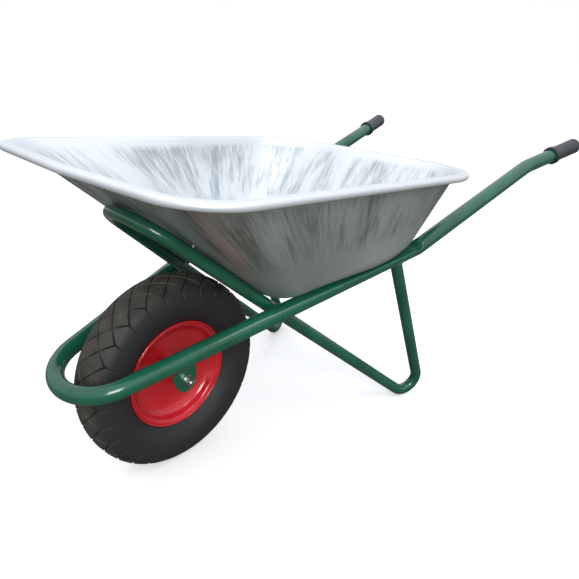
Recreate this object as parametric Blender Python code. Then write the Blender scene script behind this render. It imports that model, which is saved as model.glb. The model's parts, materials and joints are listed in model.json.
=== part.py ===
"""A builder's wheelbarrow: a bent tube frame, a galvanised tray, and a pneumatic wheel on a bolt.

Metres, +Z up, ground at z = 0. +X runs from the wheel to the handles, and the right hand of
someone holding the grips (who looks along -X) is at +Y. Lengths along X are measured from the
wheel's axle, and at() moves them so that the origin lies below the middle of the barrow.
"""

import math

import bmesh
import bpy
from mathutils import Matrix, Vector

# Overall placing
AXLE_X = -0.4321  # puts the origin midway between the nose and the grips' ends
GAP = 0.0003  # kept between two pieces that touch

# Wheel
TYRE_RADIUS = 0.200
TYRE_WIDTH = 0.098
RIM_FLANGE_RADIUS = 0.1130
RIM_HALF_WIDTH = 0.0310
RIM_SHEET = 0.0020
BEAD_SEAT_RADIUS = 0.1010
HUB_RADIUS = 0.0160
HUB_WALL = 0.0025
HUB_HALF_LENGTH = 0.0400
BEARING_WIDTH = 0.014
BEARING_FLANGE = 0.0020
AXLE_RADIUS = 0.0060
VALVE_RADIUS = 0.0040
VALVE_ANGLE = math.radians(300)

# Axle plates
PLATE_Y = 0.0530
PLATE_THICKNESS = 0.0050
PLATE_DROP = 0.0240
PLATE_BEND_HEIGHT = 0.0300

# Main tube: two straight rails that spread and rise towards the handles
TUBE_RADIUS = 0.0165
TUBE_WALL = 0.0020
RAIL_Y = 0.1280
RAIL_SPREAD = 0.2320
RAIL_Z = 0.3060
RAIL_RISE = 0.2180
NOSE_START_X = -0.1570
SEAT_START_X = 0.1500
SEAT_END_X = 0.4720
KINK = (0.4780, 0.2390, 0.4100)
HANDLE_BEND = (0.9110, 0.2640, 0.5250)
HANDLE_END = (1.1010, 0.3000, 0.5590)
KINK_RADIUS = 0.045
HANDLE_BEND_RADIUS = 0.16

# Leg tube: a loop under the tray's front wall, two arms, two feet, two struts
LEG_RADIUS = 0.0125
LEG_WALL = 0.0018
CROSSING = (0.1470, 0.1306, 0.3380)
ARM_RISE = -0.8512
ARM_SPREAD = 0.2446
ARM_LOOP_START_X = -0.0350
FOOT_CORNER = (0.6340, 0.2350, -0.0690)
STRUT_TOP = (0.4190, 0.2252, 0.3974)
FOOT_BEND_RADIUS = 0.0333

# Tray
SHEET = 0.0015
RIM_FRONT_X = -0.1776
RIM_FRONT_BOW = 0.0180
RIM_REAR_X = 0.6434
RIM_FRONT_HALF = 0.3180
RIM_REAR_HALF = 0.3030
RIM_FRONT_CORNER = 0.105
RIM_REAR_CORNER = 0.165
RIM_REAR_Z = 0.5549
RIM_RISE = -0.0941
FLANGE_WIDTH = 0.0220
BEAD_RADIUS = 0.0050
FLOOR_Z = 0.3233  # height of the floor's underside over the axle, and its rise along X
FLOOR_RISE = 0.1890
FLOOR_FRONT_X = 0.1740
FLOOR_REAR_X = 0.4880
FLOOR_FRONT_HALF = 0.1530
FLOOR_REAR_HALF = 0.2360
FLOOR_FRONT_CORNER = 0.050
FLOOR_REAR_CORNER = 0.062
DRAW_RADIUS = 0.050  # where the floor is drawn up into the walls
DRAW_STEPS = 5
LIP_RADIUS = 0.008

# Fasteners
BOLT_RADIUS = 0.0030
REAR_BOLT_X = 0.3600
BOLT_REACH = 0.0120  # from the sheet's underside to the bolt's end, inside the tube
WASHER_RADIUS = 0.0075
WASHER_SHEET = 0.0012
HOLE_SHIFT = 0.0200  # the drill comes from inside the tray and stops inside the tube
HOLE_REACH = 0.0320
HEAD_LIFT = 0.0010  # a flat washer in the drawn corner bears on its edge
FRONT_BOLT_X = -0.0150
FRONT_WALL_GAP = 0.0029  # between the arms and the tray's front wall

# Grips
GRIP_LENGTH = 0.0980
GRIP_RADIUS = 0.0190
COLLAR_RADIUS = 0.0220

TUBE_SIDES = 12
TURNS = 36  # facets round the tyre
RAIL_ANGLE = math.atan(RAIL_RISE)
UP = Vector((0, 0, 1))


def clear_scene():
    for obj in list(bpy.data.objects):
        bpy.data.objects.remove(obj, do_unlink=True)


def material(name, colour, roughness, metallic=0.0):
    made = bpy.data.materials.new(name)
    made.use_nodes = True
    shader = made.node_tree.nodes["Principled BSDF"]
    shader.inputs["Base Color"].default_value = (*colour, 1.0)
    shader.inputs["Roughness"].default_value = roughness
    shader.inputs["Metallic"].default_value = metallic
    return made


def at(x, y, z):
    """A point given from the axle, in the barrow's own frame."""
    return Vector((AXLE_X + x, y, z))


def finish(name, bm, look, sharp_angle=35.0):
    """Turns a bmesh into a named object whose faces point outwards."""
    bmesh.ops.recalc_face_normals(bm, faces=bm.faces[:])
    mesh = bpy.data.meshes.new(name)
    bm.to_mesh(mesh)
    bm.free()
    mesh.shade_smooth()
    mesh.set_sharp_from_angle(angle=math.radians(sharp_angle))
    mesh.materials.append(look)
    obj = bpy.data.objects.new(name, mesh)
    bpy.context.scene.collection.objects.link(obj)
    return obj


def skin(bm, rings, closed):
    """Joins each ring of vertices to the next with quads."""
    count = len(rings)
    for i in range(count if closed else count - 1):
        ring, after = rings[i], rings[(i + 1) % count]
        for j in range(len(ring)):
            k = (j + 1) % len(ring)
            bm.faces.new((ring[j], ring[k], after[k], after[j]))


def ring_of(bm, points):
    return [bm.verts.new(point) for point in points]


# Paths


def arc_corner(before, corner, after, radius, step=math.radians(12)):
    """Points of the arc that rounds a corner of a polyline."""
    into = (before - corner).normalized()
    out = (after - corner).normalized()
    inner = into.angle(out)
    reach = radius / math.tan(inner / 2)
    centre = corner + (into + out).normalized() * (radius / math.sin(inner / 2))
    start = corner + into * reach - centre
    turn = math.pi - inner
    axis = start.cross(corner + out * reach - centre).normalized()
    count = max(2, math.ceil(turn / step))
    return [centre + Matrix.Rotation(turn * i / count, 3, axis) @ start for i in range(count + 1)]


def loop_arc(start_x, half, spread, rise, height, count=8):
    """The arc that joins two mirrored straight tubes, from the +Y one to the -Y one.

    The tubes lie in one plane, which rises by rise along X. At start_x they are half apart from
    the middle at the given height, and they spread by spread for each metre of X.
    """
    stretch = math.hypot(1, rise)
    lean = math.atan(spread / stretch)
    radius = half / math.cos(lean)
    centre = start_x * stretch + radius * math.sin(lean)
    points = []
    for i in range(count + 1):
        angle = math.pi / 2 + lean + (math.pi - 2 * lean) * i / count
        x = (centre + radius * math.cos(angle)) / stretch
        points.append(at(x, radius * math.sin(angle), height + rise * (x - start_x)))
    return points


def mirrored(point):
    return Vector((point.x, -point.y, point.z))


def rail_point(x, side=1):
    """The main tube's centre line beside the wheel and the tray."""
    return at(x, side * (RAIL_Y + RAIL_SPREAD * x), RAIL_Z + RAIL_RISE * x)


def main_path():
    """The main tube's centre line, from the grip end at +Y round the nose to the one at -Y."""
    end, bend, kink = at(*HANDLE_END), at(*HANDLE_BEND), at(*KINK)
    half = [end]
    half += arc_corner(end, bend, kink, HANDLE_BEND_RADIUS, math.radians(9))
    half += arc_corner(bend, kink, rail_point(0), KINK_RADIUS, math.radians(9))
    seat_marks = (SEAT_END_X + 0.001, SEAT_END_X - 0.003, 0.30, SEAT_START_X + 0.06, SEAT_START_X)
    half += [rail_point(x) for x in seat_marks]
    start = rail_point(NOSE_START_X)
    loop = loop_arc(NOSE_START_X, start.y, RAIL_SPREAD, RAIL_RISE, start.z)
    return half + loop + [mirrored(point) for point in reversed(half)]


def arm_point(x, side=1):
    """The leg tube's centre line between its front loop and the crossing."""
    dx = x - CROSSING[0]
    return at(x, side * (CROSSING[1] + ARM_SPREAD * dx), CROSSING[2] + ARM_RISE * dx)


def leg_path():
    """The leg tube's centre line, from the strut's top at +Y round to the one at -Y."""
    top, corner, crossing = at(*STRUT_TOP), at(*FOOT_CORNER), at(*CROSSING)
    start = arm_point(ARM_LOOP_START_X)
    half = [top] + arc_corner(top, corner, crossing, FOOT_BEND_RADIUS, math.radians(20))
    half += arc_corner(corner, crossing, start, 0.25, math.radians(3))
    loop = loop_arc(ARM_LOOP_START_X, start.y, ARM_SPREAD, ARM_RISE, start.z)
    return half + loop + [mirrored(point) for point in reversed(half)]


def tangents(path):
    found = []
    for i, point in enumerate(path):
        before = path[max(i - 1, 0)]
        after = path[min(i + 1, len(path) - 1)]
        one = (point - before).normalized() if point != before else Vector()
        two = (after - point).normalized() if point != after else Vector()
        found.append((one + two).normalized())
    return found


def level_frames(path):
    """Two cross directions at each point: sideways, and up."""
    frames = []
    for tangent in tangents(path):
        side = tangent.cross(UP).normalized()
        frames.append((side, side.cross(tangent).normalized()))
    return frames


def carried_frames(path):
    """Two cross directions at each point, turned as little as possible along the path."""
    along = tangents(path)
    side = along[0].orthogonal().normalized()
    frames = [(side, side.cross(along[0]).normalized())]
    for before, tangent in zip(along, along[1:]):
        side = (before.rotation_difference(tangent) @ side).normalized()
        side = (side - tangent * side.dot(tangent)).normalized()
        frames.append((side, side.cross(tangent).normalized()))
    return frames


def tube(name, path, frames, radius, wall, look, top=None, sides=TUBE_SIDES):
    """A hollow tube with open ends. top(point) gives the height at which its top is pressed flat."""
    bm = bmesh.new()
    skins = []
    for r, depth in ((radius, 0.0), (radius - wall, wall)):
        rings = []
        for point, (side, up) in zip(path, frames):
            flat = (top(point) if top else radius) - depth
            points = []
            for j in range(sides):
                angle = math.tau * (j + 0.5) / sides
                height = min(r * math.sin(angle), flat)
                points.append(point + side * r * math.cos(angle) + up * height)
            rings.append(ring_of(bm, points))
        skin(bm, rings, closed=False)
        skins.append(rings)
    outer, inner = skins
    for end in (0, -1):
        skin(bm, [outer[end], inner[end]], closed=False)
    return finish(name, bm, look, 40.0)


def seat_top(point):
    """Height of the main tube's top over its centre: round, but pressed flat under the floor."""
    x = point.x - AXLE_X
    if SEAT_START_X < x < SEAT_END_X:
        return min(TUBE_RADIUS, (floor_height(x) - point.z) * math.cos(RAIL_ANGLE) - GAP)
    return TUBE_RADIUS


# Turned and prismatic pieces


def turned(name, profile, look, axis_at, axis=Vector((0, 1, 0)), count=32, sharp_angle=35.0):
    """A closed profile of (radius, along) pairs turned round an axis. A hole stays open."""
    bm = bmesh.new()
    turn = Vector((0, 0, 1)).rotation_difference(axis).to_matrix()
    rings = []
    for j in range(count):
        angle = math.tau * j / count
        spoke = Vector((math.cos(angle), math.sin(angle), 0))
        rings.append(ring_of(bm, [axis_at + turn @ (spoke * r + UP * h) for r, h in profile]))
    skin(bm, rings, closed=True)
    return finish(name, bm, look, sharp_angle)


def solid_turned(name, profile, look, axis_at, axis, count=16, sharp_angle=35.0):
    """A solid of revolution: the profile runs from the axis, out and round, back to the axis."""
    bm = bmesh.new()
    turn = Vector((0, 0, 1)).rotation_difference(axis).to_matrix()
    rings = []
    for r, h in profile:
        angles = [math.tau * j / count for j in range(count)]
        points = [axis_at + turn @ Vector((r * math.cos(a), r * math.sin(a), h)) for a in angles]
        rings.append(ring_of(bm, points))
    skin(bm, rings, closed=False)
    bm.faces.new(rings[0])
    bm.faces.new(rings[-1])
    return finish(name, bm, look, sharp_angle)


def hexagon_ring(radius, height, across, chamfer, look, name, axis_at, axis):
    """A hexagon nut: a drilled prism whose outer corners are chamfered."""
    bm = bmesh.new()
    turn = Vector((0, 0, 1)).rotation_difference(axis).to_matrix()
    corner = across / math.sqrt(3)
    rings = []
    for r_hex, h in ((None, 0), (corner - chamfer, 0), (corner, chamfer), (corner, height - chamfer),
                     (corner - chamfer, height), (None, height)):
        points = []
        for j in range(12):
            angle = math.tau * j / 12
            if r_hex is None:
                r = radius
            else:
                in_side = (angle % math.radians(60)) - math.radians(30)
                r = min(r_hex, corner * math.cos(math.radians(30)) / math.cos(in_side))
            points.append(axis_at + turn @ Vector((r * math.cos(angle), r * math.sin(angle), h)))
        rings.append(ring_of(bm, points))
    skin(bm, rings, closed=True)
    return finish(name, bm, look, 25.0)


def cut(target, name, axis_at, axis, radius, reach, sides=16):
    """Bores a round hole right through target, along an axis."""
    bm = bmesh.new()
    turn = Vector((0, 0, 1)).rotation_difference(axis).to_matrix()
    rings = []
    for h in (-reach, reach):
        angles = [math.tau * j / sides for j in range(sides)]
        points = [turn @ Vector((radius * math.cos(a), radius * math.sin(a), h)) for a in angles]
        rings.append(ring_of(bm, [axis_at + point for point in points]))
    skin(bm, rings, closed=False)
    bm.faces.new(rings[0])
    bm.faces.new(rings[1])
    bmesh.ops.recalc_face_normals(bm, faces=bm.faces[:])
    mesh = bpy.data.meshes.new(name)
    bm.to_mesh(mesh)
    bm.free()
    cutter = bpy.data.objects.new(name, mesh)
    cutter.hide_render = True
    cutter.display_type = "WIRE"
    bpy.context.scene.collection.objects.link(cutter)
    hole = target.modifiers.new(name, "BOOLEAN")
    hole.operation = "DIFFERENCE"
    hole.object = cutter
    return cutter


# Frame


def build_frame(green):
    path = main_path()
    main = tube("main_frame_tube", path, level_frames(path), TUBE_RADIUS, TUBE_WALL, green, seat_top)
    path = leg_path()
    legs = tube("leg_support_tube", path, carried_frames(path), LEG_RADIUS, LEG_WALL, green, sides=10)
    for side, label in ((-1, "left"), (1, "right")):
        axis = (rail_point(0.45, side) - rail_point(0.3, side)).normalized()
        cut(legs, f"cope_{label}", rail_point(0.42, side), axis, TUBE_RADIUS + GAP, 0.06, sides=24)
    return main, legs


def build_axle_plate(name, side, green):
    """A bent strip: flat against the axle, then slanting out to the rail, which it is coped to fit."""
    rail = rail_point(0)
    lean_top = Vector((0, rail.y - 0.0040, rail.z - 0.0060))
    bend = PLATE_BEND_HEIGHT
    # each station: y, height over the axle, reach ahead of the axle and behind it
    stations = (
        (PLATE_Y, -PLATE_DROP, 0.014, 0.014),
        (PLATE_Y, -0.008, 0.025, 0.021),
        (PLATE_Y, 0.012, 0.028, 0.024),
        (PLATE_Y, bend, 0.030, 0.027),
        (lean_top.y, lean_top.z - TYRE_RADIUS, 0.038, 0.038),
    )
    slope = Vector((0, lean_top.y - PLATE_Y, lean_top.z - TYRE_RADIUS - bend)).normalized()
    lean_out = Vector((0, slope.z, -slope.y)) * PLATE_THICKNESS
    flat_out = Vector((0, PLATE_THICKNESS, 0))
    out_at = (flat_out, flat_out, flat_out, (flat_out + lean_out) / 2, lean_out)
    bm = bmesh.new()
    rings = []
    for (y, level, ahead, behind), out in zip(stations, out_at):
        spread = RAIL_SPREAD * (y - PLATE_Y) / (rail.y - PLATE_Y)
        row = []
        for x, shift in ((-ahead, 0), (behind, 0), (behind, 1), (-ahead, 1)):
            x -= RAIL_RISE * level
            point = at(x, y + spread * x, TYRE_RADIUS + level + RAIL_RISE * x) + out * shift
            row.append(Vector((point.x, point.y * side, point.z)))
        rings.append(ring_of(bm, row))
    skin(bm, rings, closed=False)
    bm.faces.new(rings[0])
    bm.faces.new(rings[-1])
    plate = finish(name, bm, green, 30.0)
    bore_at = at(0, side * PLATE_Y, TYRE_RADIUS)
    cut(plate, f"{name}_bore", bore_at, Vector((0, 1, 0)), AXLE_RADIUS + GAP, 0.02)
    along = (rail_point(0.1, side) - rail_point(0, side)).normalized()
    cut(plate, f"{name}_cope", rail_point(0, side), along, TUBE_RADIUS + GAP, 0.12, sides=24)
    return plate


# Wheel


def tyre_profile():
    """The casing's section as (radius, y): a horseshoe that grips the rim's two bead seats."""
    half = TYRE_WIDTH / 2
    foot = BEAD_SEAT_RADIUS + GAP + 0.0012
    outer = [
        (foot, -0.0235), (0.1095, -0.0245), (0.1180, -0.0335), (0.136, -0.0460), (0.157, -half),
        (0.178, -0.0460), (0.1940, -0.0330), (TYRE_RADIUS, -0.0120),
    ]
    outer += [(r, -y) for r, y in reversed(outer)]
    inner = [
        (foot, 0.0150), (0.120, 0.0240), (0.136, 0.0375), (0.160, 0.0410), (0.1895, 0.0180),
    ]
    inner += [(r, -y) for r, y in reversed(inner)]
    return outer + inner


def inner_tube_rings():
    """The inner tube's section: an outer oval and an inner one, as two lists of (radius, y)."""
    centre = 0.1545
    skins = []
    for shrink in (0.0, 0.0025):
        ring = []
        for j in range(8):
            angle = math.tau * j / 8
            tall = 0.0335 - shrink
            wide = 0.0360 - shrink
            pinch = 0.72 if math.cos(angle) < -0.3 else 1.0
            ring.append((centre + tall * math.cos(angle), wide * pinch * math.sin(angle)))
        skins.append(ring)
    return skins


def build_inner_tube(rubber):
    """A hollow ring of rubber, open only where the valve stem goes through its inner wall."""
    bm = bmesh.new()
    for ring in inner_tube_rings():
        rings = []
        for j in range(20):
            angle = math.tau * j / 20
            rings.append(ring_of(bm, [
                at(r * math.cos(angle), y, TYRE_RADIUS + r * math.sin(angle)) for r, y in ring]))
        skin(bm, rings, closed=True)
    tube_object = finish("inner_tube", bm, rubber)
    flip_cavity(tube_object)
    return tube_object


def flip_cavity(obj):
    """Turns the faces of the inner shell of a hollow piece towards its cavity."""
    bm = bmesh.new()
    bm.from_mesh(obj.data)
    bm.verts.ensure_lookup_table()
    seen = set()
    shells = []
    for vert in bm.verts:
        if vert in seen:
            continue
        shell, queue = set(), [vert]
        while queue:
            one = queue.pop()
            if one in shell:
                continue
            shell.add(one)
            queue += [edge.other_vert(one) for edge in one.link_edges]
        seen |= shell
        shells.append(shell)
    shells.sort(key=lambda shell: max(vert.co.x for vert in shell))
    cavity = shells[0]
    bmesh.ops.reverse_faces(bm, faces=[face for face in bm.faces if face.verts[0] in cavity])
    bm.to_mesh(obj.data)
    bm.free()


def rim_half_profile():
    """One pressed half of the rim as a closed (radius, y) outline: rolled flange, bead seat, bowl,
    disc, and a collar round the hub tube."""
    middle = [
        (RIM_FLANGE_RADIUS - 0.0004, RIM_HALF_WIDTH + 0.0004), (0.1065, 0.0278),
        (BEAD_SEAT_RADIUS, 0.0256), (0.0992, 0.0160), (0.0900, 0.0075), (0.0780, 0.0040),
        (0.0600, 0.0015), (0.0320, 0.0015), (0.0200, 0.0115), (HUB_RADIUS + GAP, 0.0130),
    ]
    half = RIM_SHEET / 2
    face, back = [], []
    for i, (r, y) in enumerate(middle):
        before, after = middle[max(i - 1, 0)], middle[min(i + 1, len(middle) - 1)]
        along = Vector((after[0] - before[0], after[1] - before[1], 0)).normalized()
        out = Vector((along.y, -along.x, 0)) * half
        face.append((r + out.x, y + out.y))
        back.append((r - out.x, y - out.y))
    return [(max(r, HUB_RADIUS + GAP), max(y, GAP)) for r, y in face + back[::-1]]


def build_wheel(black, red, zinc, nylon):
    """Everything that turns, parented to an empty on the axle."""
    centre = at(0, 0, TYRE_RADIUS)
    tyre = turned("tyre", tyre_profile(), black, centre, count=TURNS, sharp_angle=50)
    profile = rim_half_profile()
    halves = []
    for side, label in ((-1, "left"), (1, "right")):
        outline = [(r, side * y) for r, y in profile]
        halves.append(turned(f"rim_half_{label}", outline, red, centre, count=28))
    hub = [(HUB_RADIUS - HUB_WALL, -HUB_HALF_LENGTH), (HUB_RADIUS, -HUB_HALF_LENGTH),
           (HUB_RADIUS, HUB_HALF_LENGTH), (HUB_RADIUS - HUB_WALL, HUB_HALF_LENGTH)]
    hub_tube = turned("hub_tube", hub, red, centre, count=20)
    bearings = []
    bore = AXLE_RADIUS + GAP
    inside, outside = HUB_HALF_LENGTH - BEARING_WIDTH, HUB_HALF_LENGTH + GAP
    seat = HUB_RADIUS - HUB_WALL - GAP
    bearing = [(bore, inside), (seat, inside), (seat, outside), (HUB_RADIUS, outside),
               (HUB_RADIUS, outside + BEARING_FLANGE), (bore, outside + BEARING_FLANGE)]
    for side, label in ((-1, "left"), (1, "right")):
        outline = [(r, side * y) for r, y in bearing]
        bearings.append(turned(f"hub_bearing_{label}", outline, nylon, centre, count=16))
    inner_tube = build_inner_tube(black)
    valve = build_valve(inner_tube, halves[1], black, zinc)
    spindle = bpy.data.objects.new("wheel_spin_axis", None)
    spindle.location = centre
    bpy.context.scene.collection.objects.link(spindle)
    for piece in (tyre, hub_tube, inner_tube, *halves, *bearings, *valve):
        piece.parent = spindle
        piece.matrix_parent_inverse = Matrix.Translation(-centre)


def build_valve(tube_object, rim_half, black, zinc):
    """The stem leaves the inner tube and comes out through the bowl of the rim's right half."""
    spoke = Vector((math.cos(VALVE_ANGLE), 0, math.sin(VALVE_ANGLE)))
    root = at(0, 0.0012, TYRE_RADIUS) + spoke * 0.1212
    hole = at(0, 0.0117, TYRE_RADIUS) + spoke * 0.0945
    axis = (hole - root).normalized()
    length = 0.044
    stem = [(0.0015, 0), (VALVE_RADIUS, 0), (VALVE_RADIUS, length - 0.008), (0.0030, length - 0.007),
            (0.0030, length), (0.0015, length)]
    valve_stem = turned("valve_stem", stem, black, root, axis, count=12)
    inside = 0.0030 + GAP
    cap = [(0.0040, length + 0.0025), (0.0048, length + 0.0015), (0.0048, length - 0.0065),
           (inside, length - 0.0065), (inside, length + GAP)]
    valve_cap = solid_turned("valve_cap", cap, zinc, root, axis, count=12)
    bore = VALVE_RADIUS + GAP
    port = cut(tube_object, "tube_port", root, axis, bore, 0.009)
    rim_port = cut(rim_half, "rim_port", hole, axis, bore, 0.009)
    return valve_stem, valve_cap, port, rim_port


def build_axle(zinc):
    """The axle bolt, its nut, two washers and two spacer sleeves."""
    y_axis = Vector((0, 1, 0))
    outside = PLATE_Y + PLATE_THICKNESS
    washer = 0.0020
    start = at(0, outside + GAP + washer + GAP, TYRE_RADIUS)
    length = 2 * outside + 2 * (GAP + washer + GAP)
    nut_height = 0.010
    stud = 0.004
    bm = bmesh.new()
    rings = []
    across_corner = 0.019 / math.sqrt(3)
    outline = [(across_corner * 0.93, 0.0080), (across_corner, 0.0070), (across_corner, 0.0)]
    for radius, h in outline:
        points = []
        for j in range(12):
            angle = math.tau * j / 12
            in_side = (angle % math.radians(60)) - math.radians(30)
            r = min(radius, across_corner * math.cos(math.radians(30)) / math.cos(in_side))
            points.append(start + Vector((r * math.cos(angle), h, r * math.sin(angle))))
        rings.append(ring_of(bm, points))
    for h in (0.0, -(length + nut_height + stud - 0.001), -(length + nut_height + stud)):
        r = AXLE_RADIUS - (0.001 if h < -(length + nut_height + stud - 0.0005) else 0)
        points = []
        for j in range(12):
            angle = math.tau * j / 12
            points.append(start + Vector((r * math.cos(angle), h, r * math.sin(angle))))
        rings.append(ring_of(bm, points))
    skin(bm, rings, closed=False)
    bm.faces.new(rings[0])
    bm.faces.new(rings[-1])
    finish("axle_bolt", bm, zinc, 25.0)
    nut_at = at(0, -(outside + GAP + washer + GAP), TYRE_RADIUS)
    hexagon_ring(AXLE_RADIUS + GAP, nut_height, 0.019, 0.0012, zinc, "axle_nut", nut_at, -y_axis)
    bore = AXLE_RADIUS + GAP
    centre = at(0, 0, TYRE_RADIUS)
    sleeve_in = HUB_HALF_LENGTH + GAP + BEARING_FLANGE + GAP
    for side, label in ((-1, "left"), (1, "right")):
        near, far = outside + GAP, outside + GAP + washer
        ring = [(bore, near), (0.012, near), (0.012, far), (bore, far)]
        turned(f"axle_washer_{label}", [(r, side * y) for r, y in ring], zinc, centre, count=16)
        near, far = sleeve_in, PLATE_Y - GAP
        ring = [(bore, near), (0.0095, near), (0.0095, far), (bore, far)]
        turned(f"spacer_sleeve_{label}", [(r, side * y) for r, y in ring], zinc, centre, count=16)


# Tray


def trapezoid(front_x, rear_x, front_half, rear_half, front_r, rear_r, bow, fill):
    """Points round a rounded trapezoid, counter-clockwise seen from above, as (x, y) vectors.

    fill is (front, side, rear, corner): how many points lie on each stretch.
    """
    front, side, rear, corner = fill
    tip = Vector((front_x - bow, 0, 0))
    a = Vector((front_x, front_half, 0))
    b = Vector((rear_x, rear_half, 0))
    end = Vector((rear_x, 0, 0))
    arc_a = rounded(tip, a, b, front_r, corner)
    arc_b = rounded(a, b, end, rear_r, corner)
    half = [tip.lerp(arc_a[0], i / front) for i in range(front)]
    half += arc_a
    half += [arc_a[-1].lerp(arc_b[0], i / side) for i in range(1, side)]
    half += arc_b
    half += [arc_b[-1].lerp(end, i / rear) for i in range(1, rear + 1)]
    return half + [mirrored(point) for point in reversed(half[1:-1])]


def rounded(before, corner, after, radius, count):
    into = (before - corner).normalized()
    out = (after - corner).normalized()
    inner = into.angle(out)
    centre = corner + (into + out).normalized() * (radius / math.sin(inner / 2))
    start = corner + into * (radius / math.tan(inner / 2)) - centre
    stop = corner + out * (radius / math.tan(inner / 2)) - centre
    turn = start.angle(stop)
    axis = start.cross(stop).normalized()
    return [centre + Matrix.Rotation(turn * i / count, 3, axis) @ start for i in range(count + 1)]


def rim_height(x):
    return RIM_REAR_Z + RIM_RISE * (x - RIM_REAR_X)


def floor_height(x):
    """The floor's underside, which rests on the rails' pressed flats."""
    return FLOOR_Z + FLOOR_RISE * x


def wall_angle(reach, height, start, radius):
    """The slope at which a wall leaves its drawn corner so that it ends reach out and height up."""
    low, high = start + 0.05, math.radians(89.5)
    for _ in range(40):
        angle = (low + high) / 2
        out = radius * (math.sin(angle) - math.sin(start))
        up = radius * (math.cos(start) - math.cos(angle))
        if out + (height - up) / math.tan(angle) > reach:
            low = angle
        else:
            high = angle
    return angle


def tray_section(foot, top):
    """The sheet's underside from the floor's edge up to the bead, at one station round the tray."""
    out = Vector((top.x - foot.x, top.y - foot.y, 0))
    reach = out.length
    out.normalize()
    height = top.z - foot.z
    start = math.atan(FLOOR_RISE * out.x)
    angle = wall_angle(reach, height, start, DRAW_RADIUS)
    points = [foot]
    for i in range(1, DRAW_STEPS + 1):
        a = start + (angle - start) * i / DRAW_STEPS
        across = DRAW_RADIUS * (math.sin(a) - math.sin(start))
        up = DRAW_RADIUS * (math.cos(start) - math.cos(a))
        points.append(foot + out * across + UP * up)
    knee = points[-1]
    slant = top - knee
    slant_length = slant.length
    slant.normalize()
    points.append(knee + slant * slant_length * 0.5)
    points.append(top - slant * LIP_RADIUS)
    return points


def flange_section(top, edge):
    """The flange from the wall's top out to its rolled bead."""
    out = edge - top
    width = out.length
    out.normalize()
    start = top + out * LIP_RADIUS * 0.6
    points = [start]
    centre = top + out * (width - BEAD_RADIUS) - UP * BEAD_RADIUS
    for degrees in (90, 30, -30, -90):
        a = math.radians(degrees)
        points.append(centre + out * BEAD_RADIUS * math.cos(a) + UP * BEAD_RADIUS * math.sin(a))
    return points


def build_tray(zinc):
    fill = (3, 4, 3, 4)
    feet = trapezoid(FLOOR_FRONT_X, FLOOR_REAR_X, FLOOR_FRONT_HALF, FLOOR_REAR_HALF,
                     FLOOR_FRONT_CORNER, FLOOR_REAR_CORNER, 0.004, fill)
    w = FLANGE_WIDTH
    tops = trapezoid(RIM_FRONT_X + w, RIM_REAR_X - w, RIM_FRONT_HALF - w, RIM_REAR_HALF - w,
                     RIM_FRONT_CORNER - w * 0.8, RIM_REAR_CORNER - w, RIM_FRONT_BOW, fill)
    edges = trapezoid(RIM_FRONT_X, RIM_REAR_X, RIM_FRONT_HALF, RIM_REAR_HALF,
                      RIM_FRONT_CORNER, RIM_REAR_CORNER, RIM_FRONT_BOW, fill)
    bm = bmesh.new()
    sections = []
    for foot, top, edge in zip(feet, tops, edges):
        foot = at(foot.x, foot.y, floor_height(foot.x))
        top = at(top.x, top.y, rim_height(top.x))
        edge = at(edge.x, edge.y, rim_height(edge.x))
        sections.append(tray_section(foot, top) + flange_section(top, edge))
    rings = [ring_of(bm, list(points)) for points in zip(*sections)]
    skin(bm, rings, closed=False)
    bm.faces.new(rings[0])
    tray = finish("tray", bm, zinc, 40.0)
    floor = tray.data.polygons[-1]
    if floor.normal.z > 0:
        tray.data.flip_normals()  # the sheet is laid on from its underside
    sheet = tray.modifiers.new("sheet", "SOLIDIFY")
    sheet.thickness = SHEET
    sheet.offset = -1.0
    sheet.use_even_offset = True
    return tray


def build_tray_bolts(tray, main, legs, zinc):
    """Two bolts through the floor's drawn edge into the rails, two through the front wall into
    the arms."""
    floor_up = Vector((-FLOOR_RISE, 0, 1)).normalized()
    run = (REAR_BOLT_X - FLOOR_FRONT_X) / (FLOOR_REAR_X - FLOOR_FRONT_X)
    floor_half = FLOOR_FRONT_HALF + (FLOOR_REAR_HALF - FLOOR_FRONT_HALF) * run
    for side, label in ((-1, "left"), (1, "right")):
        rail = rail_point(REAR_BOLT_X, side)
        floor_edge = at(REAR_BOLT_X, side * floor_half, floor_height(REAR_BOLT_X))
        to_bend = floor_edge + floor_up * DRAW_RADIUS - rail
        to_bend.x = to_bend.z * floor_up.x / floor_up.z
        axis = to_bend.normalized()
        lift = to_bend.length - DRAW_RADIUS
        seat = rail + axis * lift
        bolt_set(f"rear_{label}", seat, axis, HEAD_LIFT, (tray, main), zinc)
    down = (arm_point(0.1) - arm_point(0)).normalized()
    wall_out = Vector((-down.z, 0, down.x)).normalized()
    for side, label in ((-1, "left"), (1, "right")):
        seat = arm_point(FRONT_BOLT_X, side) + wall_out * (LEG_RADIUS + FRONT_WALL_GAP)
        bolt_set(f"front_{label}", seat, wall_out, 0.0, (tray, legs), zinc)


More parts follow.
